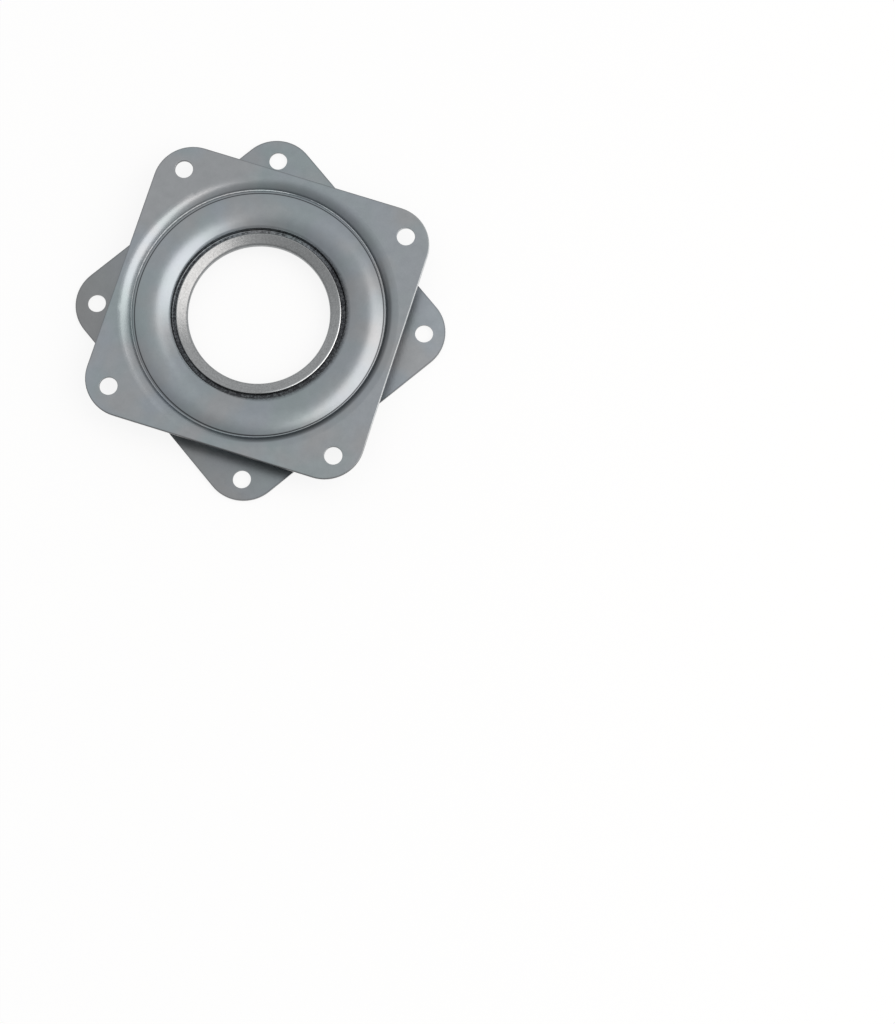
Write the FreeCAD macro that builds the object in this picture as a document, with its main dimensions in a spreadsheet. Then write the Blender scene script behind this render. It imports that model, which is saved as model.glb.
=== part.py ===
import FreeCAD, Part
import math
import os
import Sketcher
from FreeCAD import Placement, Rotation, Vector

# Lazy susan bearing, millimetres. The bottom plate's outer face lies on z = 0 and the
# axis of rotation is Z. Both plates are the same pressing, one turned upside down, and
# every height is counted from the plane midway between them.

SIZES = {
    # plates
    "plate_side": 76.2,
    "corner_radius": 10.6,
    "sheet_thickness": 0.9,
    "edge_roll": 0.2,
    # mounting holes
    "hole_edge_distance": 7.1,
    "hole_diameter": 4.8,
    "hole_edge_roll": 0.12,
    # pressed centre, from the side of the plate inwards
    "side_margin": 1.0,
    "shoulder_bend": 4.2,
    "shoulder_run": 1.25,
    "crease_bend": 0.25,
    "dome_half_width": 5.64,
    "dome_rise": 1.55,
    "dome_drop": 0.295,
    "brow_bend": 1.1,
    "foot_bend": 0.3,
    "ledge_width": 2.08,
    "rim_gap": 0.3,
    # balls and their cage
    "ball_diameter": 6.35,
    "ball_clearance": 0.03,
    "ball_count": 18,
    "cage_wall": 0.5,
    "cage_thickness": 3.0,
    "pocket_clearance": 0.12,
    "cage_corner": 0.3,
    "cage_room": 0.2,
    # centre sleeve
    "throat_step": 2.19,
    "sleeve_thickness": 0.7,
    "throat_bend": 0.9,
    "foot_roll": 1.9,
    "lip_overlap": 0.8,
    "lip_clearance": 0.2,
    "lip_angle": 20.0,
    "lip_edge_roll": 0.25,
    "foot_play": 0.05,
    # turn of the top plate at rest
    "rest_turn": 33.0,
}

# heights on the outer faces, with the dome set back a little from the flange
DOME_TO_MIDDLE = "(sizes.ball_diameter / 2 + sizes.ball_clearance + sizes.sheet_thickness)"
MID_HEIGHT = f"({DOME_TO_MIDDLE} + sizes.dome_drop)"
OVERALL_HEIGHT = f"{MID_HEIGHT} * 2"
DOME_HEIGHT = f"{OVERALL_HEIGHT} - sizes.dome_drop"
CREASE_HEIGHT = f"{DOME_HEIGHT} - sizes.dome_rise"
LEDGE_HEIGHT = f"{MID_HEIGHT} + sizes.rim_gap / 2 + sizes.sheet_thickness"
LIP_RISE = f"{LEDGE_HEIGHT} + sizes.lip_clearance + sizes.sleeve_thickness / cos(sizes.lip_angle * 1 deg)"
SLEEVE_FOOT = f"{MID_HEIGHT} - sizes.rim_gap / 2 - sizes.sheet_thickness - sizes.sleeve_thickness"

# radii, each counted inwards from the one before
BEND_START = "sizes.plate_side / 2 - sizes.side_margin"
FLANGE_START = f"{BEND_START} + sizes.side_margin / 2"
SHOULDER_SLOPE = "atan((sizes.dome_rise + sizes.dome_drop) / sizes.shoulder_run)"
SHOULDER_RADIUS = f"{BEND_START} - sizes.shoulder_bend * tan({SHOULDER_SLOPE} / 2)"
CREASE_RADIUS = f"{SHOULDER_RADIUS} - sizes.shoulder_run"
TRACK_RADIUS = f"{CREASE_RADIUS} - sizes.dome_half_width"
POCKET_RADIUS = "sizes.ball_diameter / 2 + sizes.pocket_clearance"
CAGE_HALF_WIDTH = f"{POCKET_RADIUS} + sizes.cage_wall"
WELL_RADIUS = f"{TRACK_RADIUS} - ({CAGE_HALF_WIDTH} + sizes.cage_room + sizes.sheet_thickness)"
TOP_RIM = f"{WELL_RADIUS} - sizes.ledge_width"
LIP_RADIUS = f"{TOP_RIM} + sizes.lip_overlap"
THROAT_RADIUS = f"{TOP_RIM} - sizes.throat_step"
BOTTOM_RIM = f"{THROAT_RADIUS} + sizes.foot_roll + sizes.foot_play"

HOLE_OFFSET = "(sizes.plate_side / 2 - sizes.hole_edge_distance)"

UPRIGHT = Placement(Vector(0, 0, 0), Rotation(Vector(1, 0, 0), 90))
START, END, CENTRE = 1, 2, 3
WHOLE_TURN = 360


def fill_sheet(document, sizes):
    """Put each driving size in a cell of its own, under its own name."""
    sheet = document.addObject("Spreadsheet::Sheet", "sizes")
    for row, (name, value) in enumerate(sizes.items(), start=1):
        sheet.set(f"A{row}", name)
        sheet.set(f"B{row}", str(value))
        sheet.setAlias(f"B{row}", name)
    document.recompute()
    return sheet


def value_of(sheet, expression):
    """Work an expression on the sheet's sizes out as a plain number."""
    result = sheet.evalExpression(expression)
    return float(getattr(result, "Value", result))


def dimension(sketch, name, expression, kind, *places):
    """Add a dimension to a sketch, and bind it to the sheet."""
    number = value_of(sketch.Document.sizes, expression)
    sketch.addConstraint(Sketcher.Constraint(kind, *places, number))
    sketch.renameConstraint(sketch.ConstraintCount - 1, name)
    sketch.setExpression(f"Constraints.{name}", expression)


def guide_point(sketch, name, across, up):
    """Add a construction point at a radius and a height that are bound to the sheet."""
    sheet = sketch.Document.sizes
    place = Vector(value_of(sheet, across), value_of(sheet, up), 0)
    point = sketch.addGeometry(Part.Point(place), True)
    dimension(sketch, name + "_radius", across, "DistanceX", -1, START, point, START)
    dimension(sketch, name + "_height", up, "DistanceY", -1, START, point, START)
    return point


def arc_between(centre, start, end):
    """Return the short arc about a centre from one point to another, either way round."""
    first = math.atan2(start.y - centre.y, start.x - centre.x)
    last = math.atan2(end.y - centre.y, end.x - centre.x)
    circle = Part.Circle(centre, Vector(0, 0, 1), (start - centre).Length)
    if (last - first) % (2 * math.pi) < math.pi:
        return Part.ArcOfCircle(circle, first, last), START, END
    return Part.ArcOfCircle(circle, last, first), END, START


def bend_on_arch(point, along, out, arch_centre, arch_radius, bend):
    """Place a bend in the valley between a straight line and the outside of an arch.

    Gives the bend's centre, its touching point on the line and the one on the arch.
    """
    base = point + out * bend - arch_centre
    reach = arch_radius + bend
    half = base.dot(along)
    travel = -half - math.sqrt(half ** 2 - base.dot(base) + reach ** 2)
    centre = point + out * bend + along * travel
    on_arch = arch_centre + (centre - arch_centre) * (arch_radius / reach)
    return centre, centre - out * bend, on_arch


class Chain:
    """A sketch of lines and arcs that run on from each other without a kink."""

    def __init__(self, sketch):
        self.sketch = sketch
        self.last = None

    def add(self, curve, first=START, final=END):
        """Add the next curve, and hold it smooth to the one before."""
        index = self.sketch.addGeometry(curve, False)
        if self.last:
            tangent = Sketcher.Constraint("Tangent", self.last[0], self.last[1], index, first)
            self.sketch.addConstraint(tangent)
        self.last = (index, final)
        return index

    def line(self, start, end):
        return self.add(Part.LineSegment(start, end))

    def arc(self, centre, start, end):
        return self.add(*arc_between(centre, start, end))


def pressed_profile(document, name, rim_radius):
    """Sketch the outer face of a plate, from the flange in to the rim of its centre."""
    sheet = document.sizes
    sketch = document.addObject("Sketcher::SketchObject", name + "_profile")
    sketch.Placement = UPRIGHT
    bend = value_of(sheet, "sizes.shoulder_bend")
    brow = value_of(sheet, "sizes.brow_bend")
    foot = value_of(sheet, "sizes.foot_bend")
    top = value_of(sheet, OVERALL_HEIGHT)
    ledge = value_of(sheet, LEDGE_HEIGHT)
    well = value_of(sheet, WELL_RADIUS)

    shoulder = Vector(value_of(sheet, SHOULDER_RADIUS), top, 0)
    crease = Vector(value_of(sheet, CREASE_RADIUS), value_of(sheet, CREASE_HEIGHT), 0)
    crown = Vector(value_of(sheet, TRACK_RADIUS), value_of(sheet, DOME_HEIGHT), 0)
    across, rise = crease.x - crown.x, crown.y - crease.y
    dome_radius = (across ** 2 + rise ** 2) / (2 * rise)
    dome_centre = crown - Vector(0, dome_radius, 0)

    slope = (shoulder - crease).normalize()
    slope_out = Vector(-slope.y, slope.x, 0)
    trim = bend * math.tan(math.acos(slope.x) / 2)
    flange_end = shoulder + Vector(trim, 0, 0)
    slope_start = shoulder - slope * trim
    crease_centre, slope_end, dome_start = bend_on_arch(
        shoulder, slope * -1, slope_out, dome_centre, dome_radius,
        value_of(sheet, "sizes.crease_bend"))

    brow_lift = math.sqrt((dome_radius - brow) ** 2 - (crown.x - well - brow) ** 2)
    brow_centre = Vector(well + brow, dome_centre.y + brow_lift, 0)
    dome_end = dome_centre + (brow_centre - dome_centre) * (dome_radius / (dome_radius - brow))
    wall_top = brow_centre - Vector(brow, 0, 0)
    foot_centre = Vector(well - foot, ledge + foot, 0)
    wall_foot = foot_centre + Vector(foot, 0, 0)
    ledge_start = foot_centre - Vector(0, foot, 0)

    chain = Chain(sketch)
    flange = chain.line(Vector(value_of(sheet, FLANGE_START), top, 0), flange_end)
    shoulder_arc = chain.arc(flange_end - Vector(0, bend, 0), flange_end, slope_start)
    slope_line = chain.line(slope_start, slope_end)
    crease_arc = chain.arc(crease_centre, slope_end, dome_start)
    dome = chain.arc(dome_centre, dome_start, dome_end)
    brow_arc = chain.arc(brow_centre, dome_end, wall_top)
    wall = chain.line(wall_top, wall_foot)
    foot_arc = chain.arc(foot_centre, wall_foot, ledge_start)
    ledge_line = chain.line(ledge_start, Vector(value_of(sheet, rim_radius), ledge, 0))

    sketch.addConstraint(Sketcher.Constraint("Horizontal", flange))
    sketch.addConstraint(Sketcher.Constraint("Vertical", wall))
    sketch.addConstraint(Sketcher.Constraint("Horizontal", ledge_line))
    dimension(sketch, "flange_start", FLANGE_START, "DistanceX", -1, START, flange, START)
    dimension(sketch, "shoulder_bend", "sizes.shoulder_bend", "Radius", shoulder_arc)
    dimension(sketch, "crease_bend", "sizes.crease_bend", "Radius", crease_arc)
    dimension(sketch, "brow_bend", "sizes.brow_bend", "Radius", brow_arc)
    dimension(sketch, "foot_bend", "sizes.foot_bend", "Radius", foot_arc)
    dimension(sketch, "track_radius", TRACK_RADIUS, "DistanceX", -1, START, dome, CENTRE)
    dimension(sketch, "well_radius", WELL_RADIUS, "DistanceX", -1, START, wall, START)
    dimension(sketch, "rim_radius", rim_radius, "DistanceX", -1, START, ledge_line, END)
    dimension(sketch, "ledge_height", LEDGE_HEIGHT, "DistanceY", -1, START, ledge_line, END)

    corner = guide_point(sketch, "corner", SHOULDER_RADIUS, OVERALL_HEIGHT)
    valley = guide_point(sketch, "valley", CREASE_RADIUS, CREASE_HEIGHT)
    summit = guide_point(sketch, "summit", TRACK_RADIUS, DOME_HEIGHT)
    for point, curve in (
        (corner, flange), (corner, slope_line), (valley, slope_line), (valley, dome), (summit, dome),
    ):
        sketch.addConstraint(Sketcher.Constraint("PointOnObject", point, START, curve))
    return sketch


def spun_sheet(document, name, sketch, thickness):
    """Give a profile the thickness of its sheet, and turn the section round the Z axis."""
    section = document.addObject("Part::Offset2D", name + "_section")
    section.Source = sketch
    section.Mode = "Skin"
    section.Join = "Arc"
    section.Fill = True
    section.setExpression("Value", thickness)
    spun = document.addObject("Part::Revolution", name + "_spun")
    spun.Source = section
    spun.Axis = Vector(0, 0, 1)
    spun.Angle = WHOLE_TURN
    spun.Solid = True
    return spun


def rounded_square(document, name):
    """Sketch the flange's outline, with the round opening for the pressed centre."""
    sheet = document.sizes
    half = value_of(sheet, "sizes.plate_side / 2")
    radius = value_of(sheet, "sizes.corner_radius")
    sketch = document.addObject("Sketcher::SketchObject", name + "_outline")
    chain = Chain(sketch)
    sides, corners = [], []
    for quarter in range(4):
        turn = Rotation(Vector(0, 0, 1), 90 * quarter)
        first = turn.multVec(Vector(half, radius - half, 0))
        last = turn.multVec(Vector(half, half - radius, 0))
        centre = turn.multVec(Vector(half - radius, half - radius, 0))
        beyond = turn.multVec(Vector(half - radius, half, 0))
        sides.append(chain.line(first, last))
        corners.append(chain.arc(centre, last, beyond))
    sketch.addConstraint(Sketcher.Constraint("Tangent", corners[-1], END, sides[0], START))
    for side in sides[1::2]:
        sketch.addConstraint(Sketcher.Constraint("Horizontal", side))
    for side in sides[0::2]:
        sketch.addConstraint(Sketcher.Constraint("Vertical", side))
    for corner in corners[1:]:
        sketch.addConstraint(Sketcher.Constraint("Equal", corners[0], corner))
    dimension(sketch, "corner_radius", "sizes.corner_radius", "Radius", corners[0])
    dimension(sketch, "right_side", "sizes.plate_side / 2", "DistanceX", -1, START, sides[0], START)
    dimension(sketch, "back_side", "sizes.plate_side / 2", "DistanceY", -1, START, sides[1], START)
    dimension(sketch, "width", "sizes.plate_side", "DistanceX", sides[2], START, sides[0], START)
    dimension(sketch, "depth", "sizes.plate_side", "DistanceY", sides[3], START, sides[1], START)
    opening = sketch.addGeometry(
        Part.Circle(Vector(0, 0, 0), Vector(0, 0, 1), value_of(sheet, FLANGE_START)), False)
    sketch.addConstraint(Sketcher.Constraint("Coincident", opening, CENTRE, -1, START))
    dimension(sketch, "opening", FLANGE_START, "Radius", opening)
    return sketch


def flange_with_holes(document, name):
    """Raise the square flange and drill its four mounting holes."""
    outline = rounded_square(document, name)
    blank = document.addObject("Part::Extrusion", name + "_blank")
    blank.Base = outline
    blank.DirMode = "Custom"
    blank.Dir = Vector(0, 0, 1)
    blank.Solid = True
    blank.setExpression("LengthFwd", "sizes.sheet_thickness")
    blank.setExpression("Placement.Base.z", f"{OVERALL_HEIGHT} - sizes.sheet_thickness")
    drills = []
    for number, (across, along) in enumerate(((1, 1), (-1, 1), (-1, -1), (1, -1)), start=1):
        drill = document.addObject("Part::Cylinder", f"{name}_hole_{number}")
        drill.setExpression("Radius", "sizes.hole_diameter / 2")
        drill.setExpression("Height", "sizes.sheet_thickness * 3")
        drill.setExpression("Placement.Base.x", f"{HOLE_OFFSET} * {across}")
        drill.setExpression("Placement.Base.y", f"{HOLE_OFFSET} * {along}")
        drill.setExpression("Placement.Base.z", f"{OVERALL_HEIGHT} - sizes.sheet_thickness * 2")
        drills.append(drill)
    holes = document.addObject("Part::MultiFuse", name + "_holes")
    holes.Shapes = drills
    drilled = document.addObject("Part::Cut", name + "_flange")
    drilled.Base = blank
    drilled.Tool = holes
    return drilled


def outer_edges(shape, height, corner_radius, hole_radius):
    """Find the outline and the hole rims among the edges at one height."""
    outline, rims = [], []
    for number, edge in enumerate(shape.Edges, start=1):
        box = edge.BoundBox
        if abs(box.ZMax - height) > 1e-4 or box.ZLength > 1e-4:
            continue
        round_edge = isinstance(edge.Curve, Part.Circle)
        if round_edge and abs(edge.Curve.Radius - hole_radius) < 1e-4:
            rims.append(number)
        elif not round_edge or abs(edge.Curve.Radius - corner_radius) < 1e-4:
            outline.append(number)
    return outline, rims


def plate(document, name, rim_radius):
    """Join the flange to its pressed centre, and roll the edges that the punch leaves."""
    sheet = document.sizes
    profile = pressed_profile(document, name, rim_radius)
    centre = spun_sheet(document, name, profile, "sizes.sheet_thickness")
    flange = flange_with_holes(document, name)
    joined = document.addObject("Part::MultiFuse", name + "_joined")
    joined.Shapes = [flange, centre]
    joined.Refine = True
    document.recompute()
    outline, rims = outer_edges(
        joined.Shape, value_of(sheet, OVERALL_HEIGHT),
        value_of(sheet, "sizes.corner_radius"), value_of(sheet, "sizes.hole_diameter / 2"))
    roll = value_of(sheet, "sizes.edge_roll")
    rim_roll = value_of(sheet, "sizes.hole_edge_roll")
    finished = document.addObject("Part::Fillet", name)
    finished.Base = joined
    finished.Edges = [(n, roll, roll) for n in outline] + [(n, rim_roll, rim_roll) for n in rims]
    finished.Label = name
    return finished


def sleeve_profile(document):
    """Sketch the sleeve's face on the hole: sloping lip, rounded throat, rolled foot."""
    sheet = document.sizes
    sketch = document.addObject("Sketcher::SketchObject", "sleeve_profile")
    sketch.Placement = UPRIGHT
    bend = value_of(sheet, "sizes.throat_bend")
    roll = value_of(sheet, "sizes.foot_roll")
    throat = value_of(sheet, THROAT_RADIUS)
    lip = value_of(sheet, LIP_RADIUS)
    angle = math.radians(value_of(sheet, "sizes.lip_angle"))
    over_rim = Vector(value_of(sheet, TOP_RIM), value_of(sheet, LIP_RISE), 0)
    foot = value_of(sheet, SLEEVE_FOOT)

    along = Vector(math.cos(angle), math.sin(angle), 0)
    across = Vector(-math.sin(angle), math.cos(angle), 0)
    touch_radius = throat + bend * (1 - math.sin(angle))
    touch = over_rim + along * ((touch_radius - over_rim.x) / along.x)
    upper_centre = touch - across * bend
    lower_centre = Vector(throat + roll, foot + roll, 0)
    land_top = Vector(throat, upper_centre.y, 0)
    land_foot = Vector(throat, lower_centre.y, 0)
    foot_start = Vector(lower_centre.x, foot, 0)

    chain = Chain(sketch)
    slope = chain.line(over_rim + along * ((lip - over_rim.x) / along.x), touch)
    upper_arc = chain.arc(upper_centre, touch, land_top)
    chain.line(land_top, land_foot)
    lower_arc = chain.arc(lower_centre, land_foot, foot_start)
    base = chain.line(foot_start, Vector(lip, foot, 0))

    sketch.addConstraint(Sketcher.Constraint("Horizontal", base))
    dimension(sketch, "throat_bend", "sizes.throat_bend", "Radius", upper_arc)
    dimension(sketch, "foot_roll", "sizes.foot_roll", "Radius", lower_arc)
    dimension(sketch, "lip_radius", LIP_RADIUS, "DistanceX", -1, START, slope, START)
    dimension(sketch, "foot_radius", LIP_RADIUS, "DistanceX", -1, START, base, END)
    dimension(sketch, "foot_height", SLEEVE_FOOT, "DistanceY", -1, START, base, END)
    dimension(sketch, "throat", THROAT_RADIUS, "DistanceX", -1, START, upper_arc, END)
    rest = guide_point(sketch, "over_rim", TOP_RIM, LIP_RISE)
    sketch.addConstraint(Sketcher.Constraint("PointOnObject", rest, START, slope))
    return sketch


def centre_sleeve(document):
    """Spin the sleeve that is flared over the rims of both plates and keeps them together."""
    profile = sleeve_profile(document)
    flared = spun_sheet(document, "sleeve", profile, "sizes.sleeve_thickness")
    document.recompute()
    lip = value_of(document.sizes, LIP_RADIUS)
    roll = value_of(document.sizes, "sizes.lip_edge_roll")
    sleeve = document.addObject("Part::Fillet", "centre_sleeve")
    sleeve.Base = flared
    sleeve.Edges = [(number, roll, roll) for number, edge in enumerate(flared.Shape.Edges, start=1)
                    if edge.isClosed() and edge.Curve.Radius > lip - roll]
    return sleeve


def ball_cage(document):
    """Turn the cage ring and sink one pocket with a round wall for each ball."""
    sheet = document.sizes
    body = document.addObject("PartDesign::Body", "ball_cage")
    planes = {plane.Role: plane for plane in body.Origin.OriginFeatures}
    count = int(value_of(sheet, "sizes.ball_count"))
    track = value_of(sheet, TRACK_RADIUS)
    middle = value_of(sheet, MID_HEIGHT)

    ring = body.newObject("Sketcher::SketchObject", "ring_section")
    ring.AttachmentSupport = (planes["XZ_Plane"], [""])
    ring.MapMode = "FlatFace"
    half_width = value_of(sheet, CAGE_HALF_WIDTH)
    half_thickness = value_of(sheet, "sizes.cage_thickness / 2")
    low = Vector(track - half_width, middle - half_thickness, 0)
    high = Vector(track + half_width, middle + half_thickness, 0)
    corners = [low, Vector(high.x, low.y, 0), high, Vector(low.x, high.y, 0)]
    lines = []
    for first, last in zip(corners, corners[1:] + corners[:1]):
        lines.append(ring.addGeometry(Part.LineSegment(first, last), False))
    for first, last in zip(lines, lines[1:] + lines[:1]):
        ring.addConstraint(Sketcher.Constraint("Coincident", first, END, last, START))
    for line in lines[0::2]:
        ring.addConstraint(Sketcher.Constraint("Horizontal", line))
    for line in lines[1::2]:
        ring.addConstraint(Sketcher.Constraint("Vertical", line))
    dimension(ring, "width", f"({CAGE_HALF_WIDTH}) * 2", "DistanceX", lines[0], START, lines[0], END)
    dimension(ring, "thickness", "sizes.cage_thickness", "DistanceY", lines[1], START, lines[1], END)
    dimension(ring, "inner_radius", f"{TRACK_RADIUS} - ({CAGE_HALF_WIDTH})",
              "DistanceX", -1, START, lines[0], START)
    dimension(ring, "underside", MID_HEIGHT + " - sizes.cage_thickness / 2",
              "DistanceY", -1, START, lines[0], START)
    turned = body.newObject("PartDesign::Revolution", "ring")
    turned.Profile = ring
    turned.ReferenceAxis = (ring, ["V_Axis"])
    turned.Angle = WHOLE_TURN
    document.recompute()

    rounded = body.newObject("PartDesign::Fillet", "ring_corners")
    rounded.Base = (turned, [f"Edge{number + 1}" for number in range(len(turned.Shape.Edges))
                             if turned.Shape.Edges[number].isClosed()])
    rounded.setExpression("Radius", "sizes.cage_corner")
    document.recompute()

    pocket = body.newObject("Sketcher::SketchObject", "pocket_section")
    pocket.AttachmentSupport = (planes["XZ_Plane"], [""])
    pocket.MapMode = "FlatFace"
    radius = value_of(sheet, POCKET_RADIUS)
    centre = Vector(track, middle, 0)
    up = Vector(0, radius, 0)
    circle = Part.Circle(centre, Vector(0, 0, 1), radius)
    bow = pocket.addGeometry(Part.ArcOfCircle(circle, -math.pi / 2, math.pi / 2), False)
    string = pocket.addGeometry(Part.LineSegment(centre + up, centre - up), False)
    pocket.addConstraint(Sketcher.Constraint("Coincident", bow, END, string, START))
    pocket.addConstraint(Sketcher.Constraint("Coincident", bow, START, string, END))
    pocket.addConstraint(Sketcher.Constraint("PointOnObject", bow, CENTRE, string))
    pocket.addConstraint(Sketcher.Constraint("Vertical", string))
    dimension(pocket, "pocket_radius", POCKET_RADIUS, "Radius", bow)
    dimension(pocket, "track_radius", TRACK_RADIUS, "DistanceX", -1, START, bow, CENTRE)
    dimension(pocket, "middle", MID_HEIGHT, "DistanceY", -1, START, bow, CENTRE)
    sunk = body.newObject("PartDesign::Groove", "pocket")
    sunk.Profile = pocket
    sunk.ReferenceAxis = (pocket, [f"Edge{string + 1}"])
    sunk.Angle = WHOLE_TURN
    document.recompute()

    pattern = body.newObject("PartDesign::PolarPattern", "pockets")
    pattern.Originals = [sunk]
    pattern.Axis = (ring, ["V_Axis"])
    pattern.Angle = WHOLE_TURN
    pattern.Occurrences = count
    pattern.setExpression("Occurrences", "sizes.ball_count")
    body.Tip = pattern
    return body


def ball(document, number):
    """Set one ball in its place on the track."""
    turn = f"{WHOLE_TURN} / sizes.ball_count * {number - 1} * 1 deg"
    sphere = document.addObject("Part::Sphere", f"ball_{number:02d}")
    sphere.setExpression("Radius", "sizes.ball_diameter / 2")
    sphere.setExpression("Placement.Base.x", f"({TRACK_RADIUS}) * cos({turn})")
    sphere.setExpression("Placement.Base.y", f"({TRACK_RADIUS}) * sin({turn})")
    sphere.setExpression("Placement.Base.z", MID_HEIGHT)
    return sphere


def build(document):
    """Make every piece and give it its place."""
    sheet = fill_sheet(document, SIZES)
    top = plate(document, "top_plate", TOP_RIM)
    top.Placement = Placement(Vector(0, 0, 0), Rotation(Vector(0, 0, 1), value_of(sheet, "sizes.rest_turn")))
    bottom = plate(document, "bottom_plate", BOTTOM_RIM)
    bottom.Placement = Placement(Vector(0, 0, 0), Rotation(Vector(1, 0, 0), 180))
    bottom.setExpression("Placement.Base.z", OVERALL_HEIGHT)
    pieces = [top, bottom, centre_sleeve(document), ball_cage(document)]
    for number in range(1, int(value_of(sheet, "sizes.ball_count")) + 1):
        pieces.append(ball(document, number))
    document.recompute()
    return pieces


def check(document, pieces):
    """Stop if a feature failed or a piece isn't one valid solid."""
    for item in document.Objects:
        if "Invalid" in item.State or "Error" in item.State:
            raise RuntimeError(f"{item.Name} failed: {item.State}")
    for piece in pieces:
        if piece.Shape.isNull() or not piece.Shape.isValid() or len(piece.Shape.Solids) != 1:
            raise RuntimeError(f"{piece.Label} isn't one valid solid")


document = FreeCAD.newDocument("lazy_susan_bearing")
pieces = build(document)
check(document, pieces)
os.makedirs("parts", exist_ok=True)
for piece in pieces:
    piece.Shape.exportStep(f"parts/{piece.Label}.step")
    print(piece.Label, round(piece.Shape.Volume, 2), piece.Shape.BoundBox)
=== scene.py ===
import math

import bpy
from mathutils import Matrix, Vector


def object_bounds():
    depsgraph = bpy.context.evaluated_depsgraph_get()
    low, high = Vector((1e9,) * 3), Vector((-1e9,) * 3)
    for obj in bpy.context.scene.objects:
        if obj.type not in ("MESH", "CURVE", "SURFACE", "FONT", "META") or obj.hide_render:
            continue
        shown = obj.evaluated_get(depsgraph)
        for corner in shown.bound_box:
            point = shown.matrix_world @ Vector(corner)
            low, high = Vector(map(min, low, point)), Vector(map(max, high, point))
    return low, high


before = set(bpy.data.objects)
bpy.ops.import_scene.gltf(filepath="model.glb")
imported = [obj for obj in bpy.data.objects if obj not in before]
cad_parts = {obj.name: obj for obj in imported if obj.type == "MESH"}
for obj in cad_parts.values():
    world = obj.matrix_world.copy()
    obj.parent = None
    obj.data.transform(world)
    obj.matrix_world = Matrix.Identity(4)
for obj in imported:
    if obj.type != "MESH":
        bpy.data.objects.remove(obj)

cad_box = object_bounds()

MM = 0.001

# the photograph's camera, from the holes and the outlines of both plates
CAMERA_PLACE = Vector((-69.5, -174.4, 686.4)) * MM
CAMERA_RIGHT = Vector((0.7729, -0.6345, -0.0103))
CAMERA_AHEAD = Vector((0.1072, 0.1466, -0.9834))
CAMERA_LENS = 93.4
SENSOR = 36

# the room: how bright its walls are, how bright where they are dim, and where that is
WALLS = 0.80
DIM_WALLS = 0.40
DIM_TURN = -165

# the floor: its size in metres, how far below the bearing it is, and how much it glows to white
FLOOR_SIZE = 12
FLOOR_GAP = 0.05 * MM
FLOOR_GLOW = 0.86

# the outline of both plates in millimetres, and how far the top one is turned at rest
SIDE = 76.2
CORNER = 10.6
TOP_TURN = 33

# radii of the sleeve and of the pressed centre of both plates, in millimetres
THROAT = 18.82
LIP = 21.82
WELL = 22.75
ARCH_START = 23.6
ARCH_END = 33.2
# the radius of the painted shade line round the arch
SHADE_LINE = 32.90
CREASE = 33.60
SHOULDER = 37.3

# the radius in millimetres where every ramp along a radius ends
RADIUS_SPAN = 40

# how much the arch over the balls leans outwards in its shading, as a slope
ARCH_LEAN = 0.07

# turns about the axis from X in degrees, where the grease and painted shade in the well reach
# furthest, their ring and the painted shade line round the arch lie off centre, they are
# lighter in patches, shade is painted at the shoulder's foot and in the crease on its shaded
# and its lit side, and a highlight is painted on the lip and on one edge of the top plate
GREASE_AND_SHADE_TURN = -69
GREASE_AND_SHADE_SPREAD_TURN = -84
SHADE_LINE_TURN = -99
LIGHTER_PATCHES_TURN = 42
FOOT_SHADE_TURN = -84
SHADED_TURN = -10
LIT_TURN = 105
LIP_HIGHLIGHT_TURN = -74
EDGE_HIGHLIGHT_TURN = -48

# the grease and painted shade in the well, in millimetres: how far they reach past the well,
# how ragged and how soft their end is, how much wider that is on one side, and how far their
# ring and the painted shade line round the arch are off centre
GREASE_AND_SHADE_REACH = 0.4
GREASE_AND_SHADE_RAGS = 0.4
GREASE_AND_SHADE_FADE = 0.40
GREASE_AND_SHADE_CREEP = 0.95
GREASE_AND_SHADE_SHIFT = 0.3
SHADE_LINE_SHIFT = 0.42

# how much of the dark colour shows in the grease, its grit and the painted shade of the well,
# the line round the arch, the foot and the crease, what lighter patches take off it on one
# side, and how much of the cut steel shows on the cut edges and, as cut steel with painted
# shade, on the throat
GREASE_AND_SHADE_DARKNESS = 0.72
GRIT_DARKNESS = 0.45
LIGHTER_PATCHES_AMOUNT = 0.8
SHADE_LINE_DARKNESS = 0.92
FOOT_SHADE = 0.62
LIT_CREASE_SHADE = 0.24
SHADED_CREASE_SHADE = 0.37
EDGE_CUT = 0.8
RIM_CUT = 0.45
THROAT_CUT_AND_SHADE = 0.35

# how fine the patterns are, in waves a metre
CLOUD_WAVES = 75
DRIFT_WAVES = 60
MOTTLE_WAVES = 420
GRAIN_WAVES = 3000
GRIT_WAVES = 1900
FLAKE_WAVES = 1100
TOOL_WAVES = 6000
BEAD_WAVES = 2300
SHEEN_WAVES = 240
SMEAR_WAVES = 500
FLOW_WAVES = 350

# how rough the smoothest part of each finish is
ZINC_ROUGH = 0.25
STEEL_ROUGH = 0.22
BALL_ROUGH = 0.10
NYLON_ROUGH = 0.42

# how deep the grain looks, in metres
ZINC_GRAIN = 0.02 * MM
STEEL_GRAIN = 0.03 * MM
NYLON_GRAIN = 0.03 * MM

# how many times brighter steel is where a highlight is painted on it
EDGE_HIGHLIGHT_SHINE = 1.6
LIP_HIGHLIGHT_SHINE = 2.4

# colours, as linear red, green and blue
WHITE = (1.0, 1.0, 1.0)
WINDOW_LIGHT = (1.0, 0.935, 0.89)
PALE_FLOOR = (0.96, 0.96, 0.96)
GREEN_ZINC = (0.303, 0.350, 0.364)
BLUE_ZINC = (0.320, 0.352, 0.384)
GREY_ZINC = (0.338, 0.352, 0.366)
DULL_ZINC = (0.325, 0.331, 0.337)
# cut steel, also used as painted shade on the sleeve's throat wall
CUT_STEEL = (0.11, 0.11, 0.115)
# the dark colour of the grease and of the painted shade in the well, round the arch, in the
# crease and at its foot
DARK_GREASE_AND_SHADE = (0.040, 0.042, 0.047)
BRIGHT_STEEL = (0.322, 0.332, 0.338)
BALL_STEEL = (0.74, 0.74, 0.75)
NATURAL_NYLON = (0.80, 0.79, 0.73)


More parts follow.
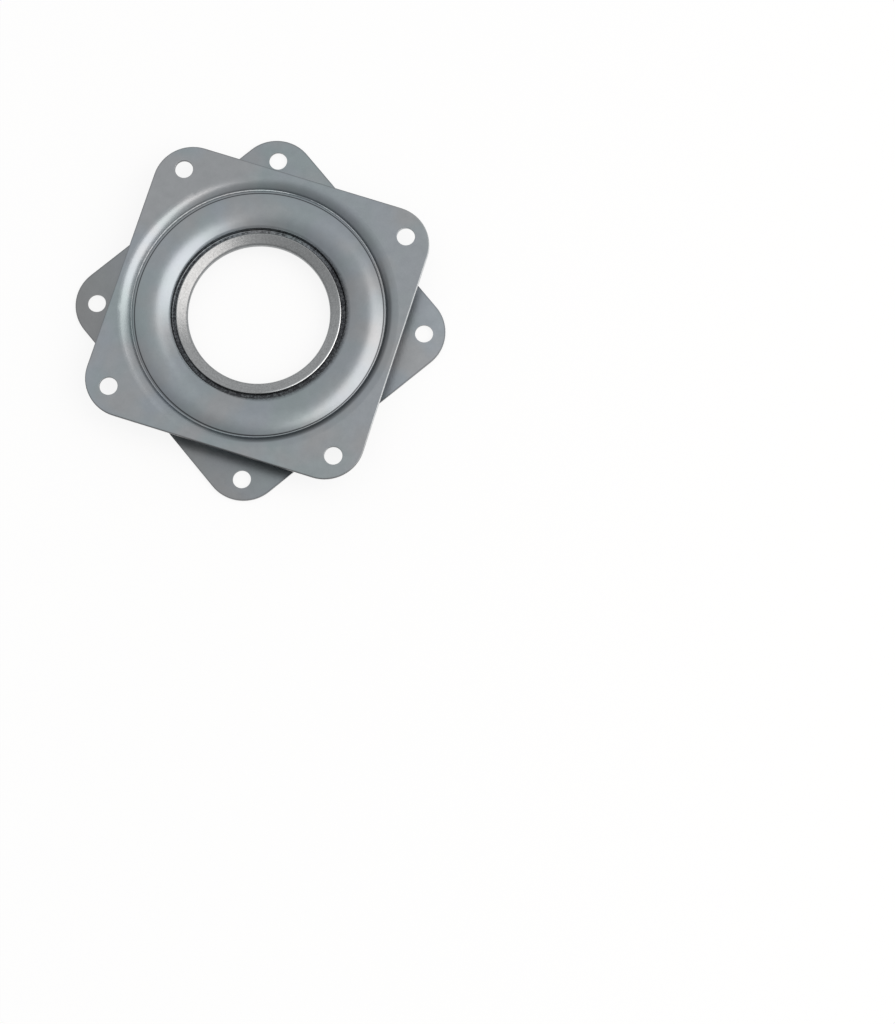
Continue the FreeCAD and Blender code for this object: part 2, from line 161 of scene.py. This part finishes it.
class Socket:
    """A shader value that can be written in plain arithmetic."""

    def __init__(self, tree, output):
        self.tree = tree
        self.output = output

    def math(self, operation, first, second):
        return self.tree.add("ShaderNodeMath", {"operation": operation}, {0: first, 1: second})

    def __add__(self, other):
        return self.math("ADD", self, other)

    def __radd__(self, other):
        return self.math("ADD", other, self)

    def __sub__(self, other):
        return self.math("SUBTRACT", self, other)

    def __rsub__(self, other):
        return self.math("SUBTRACT", other, self)

    def __mul__(self, other):
        return self.math("MULTIPLY", self, other)

    def __rmul__(self, other):
        return self.math("MULTIPLY", other, self)

    def __truediv__(self, other):
        return self.math("DIVIDE", self, other)

    def __rtruediv__(self, other):
        return self.math("DIVIDE", other, self)


class Tree:
    """A material's or the world's nodes."""

    def __init__(self, owner):
        owner.use_nodes = True
        self.nodes = owner.node_tree.nodes
        self.links = owner.node_tree.links
        self.nodes.clear()

    def add(self, kind, settings=None, sockets=None, output=0):
        """Add a node: its settings first, then the values or links of its sockets."""
        node = self.nodes.new(kind)
        for name, value in (settings or {}).items():
            if name == "stops":
                self.set_stops(node, value)
            else:
                setattr(node, name, value)
        for name, value in (sockets or {}).items():
            if isinstance(value, Socket):
                self.links.new(value.output, node.inputs[name])
            else:
                node.inputs[name].default_value = value
        return Socket(self, node.outputs[output]) if node.outputs else node

    def set_stops(self, node, stops):
        """Give a ramp its stops, each a position and a grey level."""
        ramp = node.color_ramp.elements
        while len(ramp) < len(stops):
            ramp.new(0.5)
        for element, (position, level) in zip(ramp, stops):
            element.position = position
            element.color = (level, level, level, 1)

    def place(self):
        """The point on the object, in metres."""
        return self.add("ShaderNodeTexCoord", output="Object")

    def moved(self, place, step):
        return self.add("ShaderNodeMapping", {}, {"Vector": place, "Location": step})

    def noise(self, place, scale, detail, roughness):
        return self.add("ShaderNodeTexNoise", {}, {
            "Vector": place, "Scale": scale, "Detail": detail, "Roughness": roughness})

    def ramp(self, value, *stops):
        return self.add("ShaderNodeValToRGB", {"stops": stops}, {"Fac": value})

    def blend(self, amount, first, second):
        """Fade from one colour to another."""
        return self.add("ShaderNodeMix", {"data_type": "RGBA"}, {
            "Factor": amount, 6: first, 7: second}, output=2)

    def tinted(self, tint, shade):
        """Make a colour lighter or darker by a grey level."""
        return self.add("ShaderNodeMix", {"data_type": "RGBA", "blend_type": "MULTIPLY"}, {
            "Factor": 1.0, 6: tint, 7: shade}, output=2)

    def upward(self):
        """How far the surface faces up or down, from 1 over 0 to -1."""
        faces = self.add("ShaderNodeNewGeometry", output="Normal")
        return self.parts(faces)[2]

    def vector(self, operation, first, second=(0, 0, 0), output="Vector"):
        return self.add("ShaderNodeVectorMath", {"operation": operation}, {
            0: first, 1: second}, output)

    def along(self, place, way):
        """How far a point lies along a direction, in metres."""
        return self.vector("DOT_PRODUCT", place, way, "Value")

    def parts(self, vector):
        split = self.add("ShaderNodeSeparateXYZ", {}, {0: vector})
        return [Socket(self, output) for output in split.output.node.outputs]

    def bump(self, height, distance, strength=1.0, over=None):
        """Shade the surface as if it had this height, over an earlier bump if there is one."""
        below = {"Normal": over} if over else {}
        return self.add("ShaderNodeBump", {}, {
            "Height": height, "Distance": distance, "Strength": strength, **below})

    def surface(self, **sockets):
        """Finish the material with one principled surface."""
        names = {name.replace("_", " "): value for name, value in sockets.items()}
        shader = self.add("ShaderNodeBsdfPrincipled", {}, names)
        self.add("ShaderNodeOutputMaterial", {}, {"Surface": shader})


class Ring:
    """Where a point of the bearing lies round the axis of rotation."""

    def __init__(self, tree, place):
        self.tree = tree
        self.place = place
        self.across, self.along, self.height = tree.parts(place)
        squares = self.across * self.across + self.along * self.along
        self.reach = tree.add("ShaderNodeMath", {"operation": "SQRT"}, {0: squares})
        self.radius = self.reach / MM

    def angle(self):
        return self.tree.add("ShaderNodeMath", {"operation": "ARCTAN2"}, {
            0: self.along, 1: self.across})

    def towards(self, turn):
        """The cosine of the angle between a point and a turn."""
        return self.tree.along(self.place, direction(turn)) / self.reach

    def one_side(self, turn, start, full):
        """The part of the ring that lies towards a turn: start and full are cosines from it."""
        return self.tree.ramp(self.towards(turn) * 0.5 + 0.5,
                              (start * 0.5 + 0.5, 0.0), (full * 0.5 + 0.5, 1.0))

    def off_centre(self, turn, shift):
        """The radius about a centre that lies off the axis by a shift, in millimetres."""
        return self.radius - self.towards(turn) * shift

    def band(self, radius, *stops):
        """A level that follows a radius, with its stops in millimetres."""
        return self.tree.ramp(radius / RADIUS_SPAN, *[
            (position / RADIUS_SPAN, level) for position, level in stops])


def colour(rgb, brighter=1.0):
    return tuple(min(1.0, level * brighter) for level in rgb) + (1.0,)


def direction(turn, rise=0):
    """A direction from its turn from row X and its rise above the floor, in degrees."""
    flat = math.cos(math.radians(rise))
    return Vector((flat * math.cos(math.radians(turn)),
                   flat * math.sin(math.radians(turn)),
                   math.sin(math.radians(rise))))


def new_finish(name):
    """Start a material: the material, its nodes and the point on the object."""
    material = bpy.data.materials.new(name)
    tree = Tree(material)
    return material, tree, tree.place()


def inside_outline(tree, place, turn):
    """How far inside a plate's outline a point is, in millimetres, up to the corner radius."""
    straight = (SIDE / 2 - CORNER) * MM
    turned = tree.add("ShaderNodeCombineXYZ", {}, {
        0: tree.along(place, direction(turn)), 1: tree.along(place, direction(turn + 90))})
    quarter = tree.vector("ABSOLUTE", turned)
    past_straight = tree.vector("SUBTRACT", quarter, (straight, straight, 0))
    beyond = tree.vector("MAXIMUM", past_straight, (0, 0, 0))
    return CORNER - tree.vector("LENGTH", beyond, output="Value") / MM


def zinc_colour(tree, place, speckle, dull_and_shade_turn, dulling_and_shade):
    """Faint green, blue and grey clouds, which fade to a duller grey with painted shade towards
    one side.
    """
    clouds = tree.noise(place, CLOUD_WAVES, 2, 0.5)
    drifts = tree.noise(tree.moved(place, (0.3, 0.1, 0.2)), DRIFT_WAVES, 2, 0.5)
    bluer = tree.ramp(clouds, (0.38, 0.0), (0.62, 1.0))
    greyer = tree.ramp(drifts, (0.48, 0.0), (0.62, 1.0))
    across_plate = tree.along(place, direction(dull_and_shade_turn)) / (100 * MM) + 0.5
    duller = tree.ramp(across_plate, (0.6, 0.0), (0.9, 8 * dulling_and_shade))
    # painted shade: the finish is darker towards one side of the plate
    darker = tree.ramp(across_plate, (0.0, 1.0), (1.0, 1.0 - 2 * dulling_and_shade))
    tint = tree.blend(bluer, colour(GREEN_ZINC), colour(BLUE_ZINC))
    tint = tree.blend(greyer, tint, colour(GREY_ZINC))
    tint = tree.blend(duller, tint, colour(DULL_ZINC))
    return tree.tinted(tree.tinted(tint, speckle), darker)


def cut_edges(tree, ring, turn, edge_highlight):
    """How much of a plate's cut edge shows at a point, and the colour of its steel, with a
    highlight painted on the edge towards one side.
    """
    facing = tree.upward()
    upright = tree.ramp(facing * facing, (0.25, 1.0), (0.80, 0.0))
    flange = ring.band(ring.radius, (SHOULDER, 0.0), (SHOULDER + 0.3, 1.0))
    rim = tree.ramp(inside_outline(tree, ring.place, turn), (0.12, 1.0), (0.38, 0.0))
    # a painted highlight on the top plate's cut edge, on one side
    painted_highlight = ring.one_side(EDGE_HIGHLIGHT_TURN, 0.65, 0.80) * edge_highlight
    steel = tree.blend(painted_highlight, colour(CUT_STEEL), colour(BRIGHT_STEEL, EDGE_HIGHLIGHT_SHINE))
    return upright * flange * EDGE_CUT + rim * RIM_CUT, steel


def grease(tree, ring, grain):
    """Old grease and painted shade that fill the well and reach further up the arch on one
    side.
    """
    # grease and painted shade in the well, reaching further on one side
    wider_side = ring.one_side(GREASE_AND_SHADE_TURN, 0.0, 0.6)
    spread = ring.off_centre(GREASE_AND_SHADE_SPREAD_TURN, GREASE_AND_SHADE_SHIFT) + grain * GREASE_AND_SHADE_RAGS
    past_reach = (spread - (WELL + GREASE_AND_SHADE_REACH)) / (GREASE_AND_SHADE_FADE + wider_side * GREASE_AND_SHADE_CREEP)
    return tree.ramp(past_reach, (0.0, 1.0), (1.0, 0.0))


def grease_and_painted_shade(tree, ring, deep):
    """All that is dark: gritty grease and painted shade in the well, and painted shade in a
    line round the arch, in the crease and at its foot.
    """
    grit = tree.ramp(tree.noise(ring.place, GRIT_WAVES, 3, 0.7), (0.40, 0.0), (0.60, 1.0))
    flakes = tree.ramp(tree.noise(ring.place, FLAKE_WAVES, 2, 0.6), (0.44, 0.25), (0.56, 1.0))
    # the grease and painted shade are lighter in patches on one side
    lighter_patches = ring.one_side(LIGHTER_PATCHES_TURN, 0.6, 0.95) * flakes
    # painted shade in a thin line round the arch, off centre
    shade_line = ring.band(ring.off_centre(SHADE_LINE_TURN, SHADE_LINE_SHIFT),
                     (SHADE_LINE - 0.20, 0.0), (SHADE_LINE - 0.08, 1.0),
                     (SHADE_LINE + 0.08, 1.0), (SHADE_LINE + 0.20, 0.0))
    # painted shade in the crease, stronger on a lit and on a shaded side
    crease = ring.band(ring.radius,
                       (CREASE - 0.35, 0.0), (CREASE - 0.15, 1.0),
                       (CREASE + 0.15, 1.0), (CREASE + 0.4, 0.0))
    # painted shade at the shoulder's foot, on one side
    foot = ring.band(ring.radius,
                     (CREASE + 0.15, 0.0), (CREASE + 0.5, 1.0),
                     (CREASE + 1.3, 1.0), (CREASE + 1.9, 0.0))
    painted_foot_shade = ring.one_side(FOOT_SHADE_TURN, 0.3, 0.65) * foot
    lit = ring.one_side(LIT_TURN, 0.45, 0.85)
    shaded = ring.one_side(SHADED_TURN, 0.55, 0.88)
    painted_crease_shade = crease * (lit * LIT_CREASE_SHADE + shaded * SHADED_CREASE_SHADE)
    well_grease_and_shade = deep * (GREASE_AND_SHADE_DARKNESS + grit * GRIT_DARKNESS) * (1 - lighter_patches * LIGHTER_PATCHES_AMOUNT)
    return well_grease_and_shade + shade_line * SHADE_LINE_DARKNESS + painted_foot_shade * FOOT_SHADE + painted_crease_shade


def satin_zinc(name, turn, dull_and_shade_turn, dulling_and_shade, edge_highlight):
    """Zinc finish on pressed steel: faint clouds, fine grain, dark edges, grease and painted
    shade in the well, painted shade round the arch, in the crease and at its foot.

    The turn is the plate's own. The finish fades to a duller grey with painted shade towards
    dull_and_shade_turn: dulling_and_shade is how much darker it is at a corner than in the
    middle.
    With edge_highlight a highlight is painted on one cut edge.
    """
    material, tree, place = new_finish(name)
    ring = Ring(tree, place)
    mottle = tree.noise(place, MOTTLE_WAVES, 3, 0.6)
    grain = tree.noise(place, GRAIN_WAVES, 2, 0.6)
    speckle = tree.ramp(mottle * 0.6 + grain * 0.4, (0.25, 0.93), (0.75, 1.07))
    zinc = zinc_colour(tree, place, speckle, dull_and_shade_turn, dulling_and_shade)
    edges, steel = cut_edges(tree, ring, turn, edge_highlight)
    metal = tree.blend(edges, zinc, steel)
    deep = grease(tree, ring, grain)
    # the grease and the painted shade darken the metal
    base = tree.blend(grease_and_painted_shade(tree, ring, deep), metal, colour(DARK_GREASE_AND_SHADE))
    rough = ZINC_ROUGH + mottle * 0.06 + grain * 0.04 + deep * 0.10
    arch = tree.add("ShaderNodeClamp", {}, {
        "Value": ring.reach, "Min": ARCH_START * MM, "Max": ARCH_END * MM})
    leaning = tree.bump(arch, ARCH_LEAN)
    pitted = tree.bump(grain * 0.8 + mottle * 0.2, ZINC_GRAIN, 0.2, leaning)
    tree.surface(Base_Color=base, Metallic=1.0, Roughness=rough, Normal=pitted)
    return material


def turned_steel():
    """Bare steel, bead-fine all over, with the marks of the flaring tool round the axis, a
    highlight painted on one side of the lip, and cut steel with painted shade on the throat
    wall.
    """
    material, tree, place = new_finish("turned_steel")
    ring = Ring(tree, place)
    tool_path = tree.add("ShaderNodeCombineXYZ", {}, {
        0: ring.angle() * 1.5,
        1: (ring.reach + ring.height) * TOOL_WAVES,
        2: ring.height * (TOOL_WAVES / 4)})
    lines = tree.noise(tool_path, 1, 3, 0.6)
    beads = tree.noise(place, BEAD_WAVES, 3, 0.7)
    sheen = tree.noise(place, SHEEN_WAVES, 2, 0.5)
    speckle = tree.ramp(lines * 0.25 + beads * 0.75, (0.34, 0.78), (0.66, 1.22))
    worn = ring.band(ring.radius, (LIP - 0.34, 0.0), (LIP - 0.24, 1.0))
    # a painted highlight on one side of the lip
    painted_highlight = worn * ring.one_side(LIP_HIGHLIGHT_TURN, 0.60, 0.88)
    # cut steel with painted shade on the throat wall
    throat = ring.band(ring.radius, (THROAT, 1.0), (THROAT + 0.12, 0.0))
    bare = tree.tinted(colour(BRIGHT_STEEL), speckle)
    bright = tree.blend(painted_highlight, bare, colour(BRIGHT_STEEL, LIP_HIGHLIGHT_SHINE))
    base = tree.blend(throat * THROAT_CUT_AND_SHADE, bright, colour(CUT_STEEL))
    rough = STEEL_ROUGH + lines * 0.06 + sheen * 0.06 - worn * 0.06
    tree.surface(Base_Color=base, Metallic=1.0, Roughness=rough,
                 Normal=tree.bump(beads * 0.8 + lines * 0.2, STEEL_GRAIN, 0.7))
    return material


def polished_steel():
    """Ground and polished bearing balls with a trace of grease."""
    material, tree, place = new_finish("polished_steel")
    smears = tree.noise(place, SMEAR_WAVES, 2, 0.5)
    base = tree.blend(smears, colour(BALL_STEEL, 0.9), colour(BALL_STEEL, 1.05))
    tree.surface(Base_Color=base, Metallic=1.0, Roughness=BALL_ROUGH + smears * 0.10)
    return material


def natural_nylon():
    """Moulded nylon, uncoloured and slightly waxy."""
    material, tree, place = new_finish("natural_nylon")
    flow = tree.noise(place, FLOW_WAVES, 2, 0.5)
    base = tree.blend(flow, colour(NATURAL_NYLON, 0.94), colour(NATURAL_NYLON, 1.03))
    tree.surface(Base_Color=base, Roughness=NYLON_ROUGH + flow * 0.12,
                 Normal=tree.bump(flow, NYLON_GRAIN, 0.3))
    return material


def dress(nodes, material):
    """Give CAD nodes a finish through their own material slots."""
    for name in nodes:
        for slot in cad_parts[name].material_slots:
            slot.material = material


def pale_floor(height):
    """A white sheet under the bearing, with its soft shadow."""
    bpy.ops.object.select_all(action="DESELECT")
    bpy.ops.mesh.primitive_plane_add(size=FLOOR_SIZE, location=(0, 0, height))
    floor = bpy.context.object
    floor.name = "pale_floor"
    bpy.ops.object.transform_apply(location=True)
    material = bpy.data.materials.new("white_paper")
    tree = Tree(material)
    direct = tree.add("ShaderNodeLightPath", output="Is Camera Ray")
    mirrored = tree.add("ShaderNodeLightPath", output="Is Glossy Ray")
    paper = tree.add("ShaderNodeBsdfDiffuse", {}, {"Color": colour(PALE_FLOOR)})
    glow = tree.add("ShaderNodeEmission", {}, {"Color": colour(WHITE), "Strength": 1.0})
    mixed = tree.add("ShaderNodeMixShader", {}, {
        0: (direct + mirrored) * FLOOR_GLOW, 1: paper, 2: glow})
    tree.add("ShaderNodeOutputMaterial", {}, {"Surface": mixed})
    floor.data.materials.append(material)


def soft_lamp(name, towards, distance, width, height, brightness, tint):
    """An upright soft box that faces the bearing, as bright as brightness times white."""
    data = bpy.data.lights.new(name, "AREA")
    data.shape = "RECTANGLE"
    data.size = width
    data.size_y = height
    data.energy = brightness * math.pi * width * height
    data.color = tint
    lamp = bpy.data.objects.new(name, data)
    bpy.context.collection.objects.link(lamp)
    lamp.location = towards * distance
    lamp.rotation_euler = towards.to_track_quat("Z", "Y").to_euler()
    lamp.visible_camera = False


def studio():
    """Even white walls, dimmer behind the camera, and one tall window."""
    world = bpy.data.worlds.new("studio")
    bpy.context.scene.world = world
    tree = Tree(world)
    looking = tree.add("ShaderNodeTexCoord", output="Generated")
    towards_dim = tree.along(looking, direction(DIM_TURN, 10))
    walls = tree.ramp(towards_dim, (0.15, WALLS), (0.95, DIM_WALLS))
    air = tree.add("ShaderNodeBackground", {}, {"Color": walls, "Strength": 1.0})
    tree.add("ShaderNodeOutputWorld", {}, {"Surface": air})
    soft_lamp("window", towards=direction(-48, 53), distance=0.9, width=0.76, height=0.96,
              brightness=1.63, tint=WINDOW_LIGHT)


def photo_camera():
    data = bpy.data.cameras.new("photo_camera")
    data.sensor_fit = "AUTO"
    data.sensor_width = SENSOR
    data.lens = CAMERA_LENS
    camera = bpy.data.objects.new("photo_camera", data)
    bpy.context.collection.objects.link(camera)
    back = -CAMERA_AHEAD.normalized()
    up = back.cross(CAMERA_RIGHT).normalized()
    right = up.cross(back)
    turn = Matrix((right, up, back)).transposed()
    camera.matrix_world = Matrix.Translation(CAMERA_PLACE) @ turn.to_4x4()
    bpy.context.scene.camera = camera


balls = [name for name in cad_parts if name.startswith("ball_") and name != "ball_cage"]
dress(["top_plate"], satin_zinc(
    "top_zinc", turn=TOP_TURN, dull_and_shade_turn=-60, dulling_and_shade=0.04, edge_highlight=1.0))
dress(["bottom_plate"], satin_zinc(
    "bottom_zinc", turn=0, dull_and_shade_turn=165, dulling_and_shade=0.11, edge_highlight=0.0))
dress(["centre_sleeve"], turned_steel())
dress(["ball_cage"], natural_nylon())
dress(balls, polished_steel())

pale_floor(cad_box[0].z - FLOOR_GAP)
studio()
photo_camera()
bpy.context.scene.view_settings.view_transform = "Standard"
